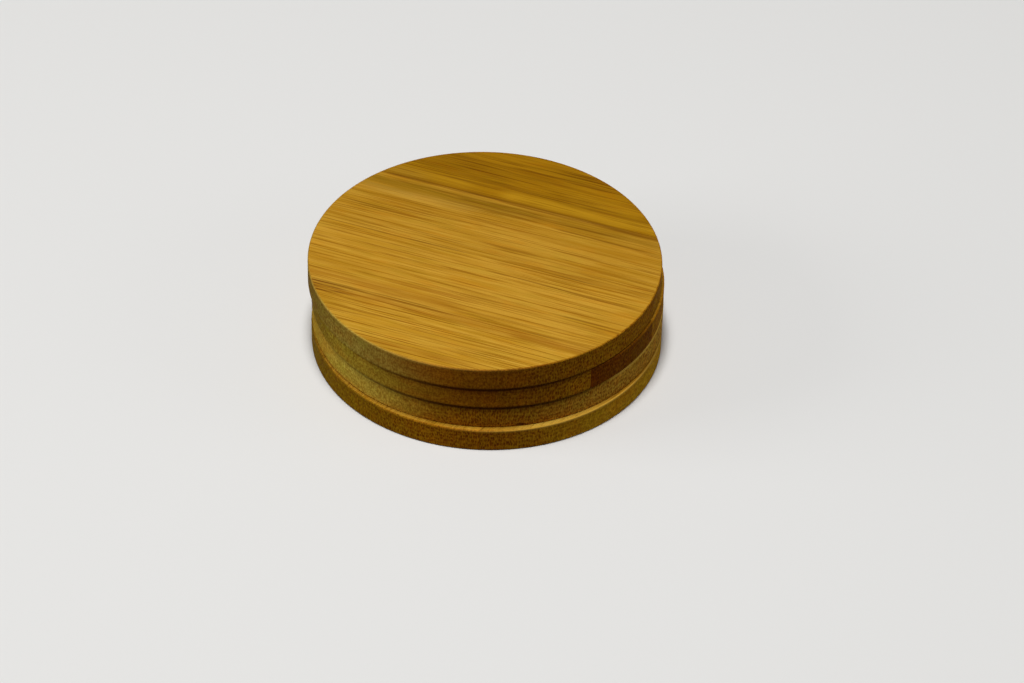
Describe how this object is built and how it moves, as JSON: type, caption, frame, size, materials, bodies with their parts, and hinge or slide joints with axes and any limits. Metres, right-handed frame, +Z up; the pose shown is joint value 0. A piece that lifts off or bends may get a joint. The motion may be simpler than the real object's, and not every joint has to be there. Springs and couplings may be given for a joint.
{
  "type": "drink coaster set",
  "caption": "Stack of plain round flat bamboo drink coasters, each a disc of edge-glued flat-pressed strips with eased rims; each lifts straight off the one below.",
  "frame": {"origin": "centre of the bottom coaster's underside, on the surface that the stack stands on", "axes": "+Z up, the way the coasters stack and lift; +X to the right and -Y towards the viewer, as in the picture"},
  "size_m": [0.0909, 0.0914, 0.0254],
  "materials": {
    "bamboo_pale": "satin",
    "bamboo_golden": "satin",
    "bamboo_amber": "satin",
    "bamboo_brown": "satin"
  },
  "bodies": {
    "bottom_coaster": {"bottom_front_edge_strip": "bamboo_golden", "bottom_front_middle_strip": "bamboo_amber", "bottom_back_middle_strip": "bamboo_golden", "bottom_back_edge_strip": "bamboo_pale"},
    "third_coaster": {"third_front_edge_strip": "bamboo_pale", "third_front_middle_strip": "bamboo_golden", "third_back_middle_strip": "bamboo_golden", "third_back_edge_strip": "bamboo_amber"},
    "second_coaster": {"second_front_edge_strip": "bamboo_golden", "second_front_middle_strip": "bamboo_brown", "second_back_middle_strip": "bamboo_golden", "second_back_edge_strip": "bamboo_golden"},
    "top_coaster": {"top_front_edge_strip": "bamboo_pale", "top_front_middle_strip": "bamboo_pale", "top_back_middle_strip": "bamboo_golden", "top_back_edge_strip": "bamboo_amber"}
  },
  "joints": [
    {"name": "third_coaster_lift", "type": "slide", "parent": "bottom_coaster", "child": "third_coaster", "axis": [0, 0, 1], "range_m": [0, 0.06]},
    {"name": "second_coaster_lift", "type": "slide", "parent": "third_coaster", "child": "second_coaster", "axis": [0, 0, 1], "range_m": [0, 0.06]},
    {"name": "top_coaster_lift", "type": "slide", "parent": "second_coaster", "child": "top_coaster", "axis": [0, 0, 1], "range_m": [0, 0.06]}
  ]
}
